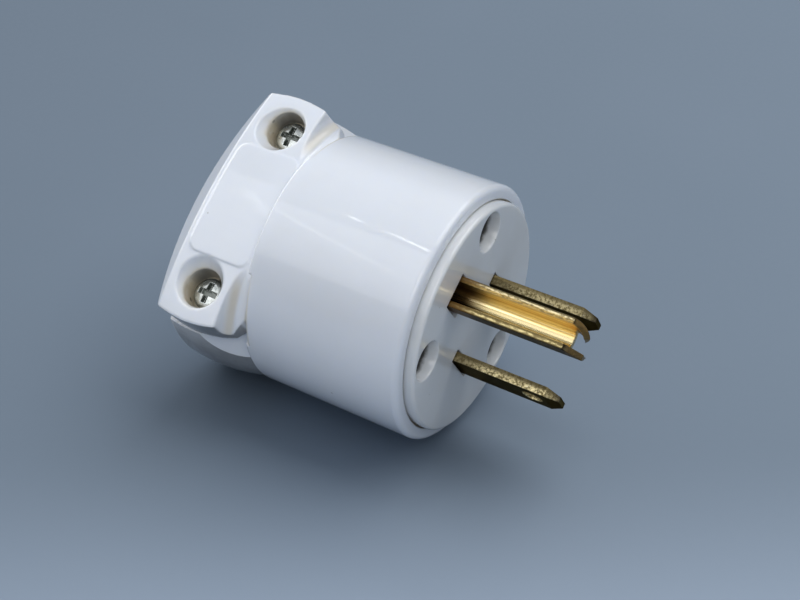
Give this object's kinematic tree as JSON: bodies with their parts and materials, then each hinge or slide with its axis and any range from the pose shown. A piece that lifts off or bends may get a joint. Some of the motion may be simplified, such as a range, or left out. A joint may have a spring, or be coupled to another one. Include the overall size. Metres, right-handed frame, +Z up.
{
  "type": "grounding plug",
  "caption": "Round rewirable plug with flat parallel blades, a folded channel for the ground prong, a screwed face insert and a saddle clamp for a cord at its rear.",
  "frame": {"origin": "centre of the mating face", "axes": "+X along the plug's axis, the way the prongs point; +Z up with the plug lying as it rests on a table, rolled about X so that the shell and one lower corner of the clamp's jaw touch it"},
  "size_m": [0.0634, 0.0438, 0.0412],
  "materials": {
    "shell_plastic": "gloss",
    "insert_plastic": "semi-gloss",
    "retainer_plastic": "matte",
    "blade_brass": "tarnished, with bright sheared edges",
    "ground_brass": "bright, drawn",
    "terminal_brass": "satin",
    "plated_metal": "nickel plated",
    "green_screw": "green dye over zinc",
    "screw_steel": "zinc plated"
  },
  "bodies": {
    "root": {"shell": "shell_plastic", "face_insert": "insert_plastic", "blade_retainer": "retainer_plastic", "hot_blade": "blade_brass", "neutral_blade": "blade_brass", "ground_prong": "ground_brass", "hot_wire_clamp": "terminal_brass", "neutral_wire_clamp": "plated_metal", "ground_wire_clamp": "terminal_brass", "hot_terminal_screw": "terminal_brass", "neutral_terminal_screw": "plated_metal", "ground_terminal_screw": "green_screw", "assembly_screws": "screw_steel", "cord_clamp": "shell_plastic", "clamp_screws": "screw_steel"}
  },
  "joints": []
}
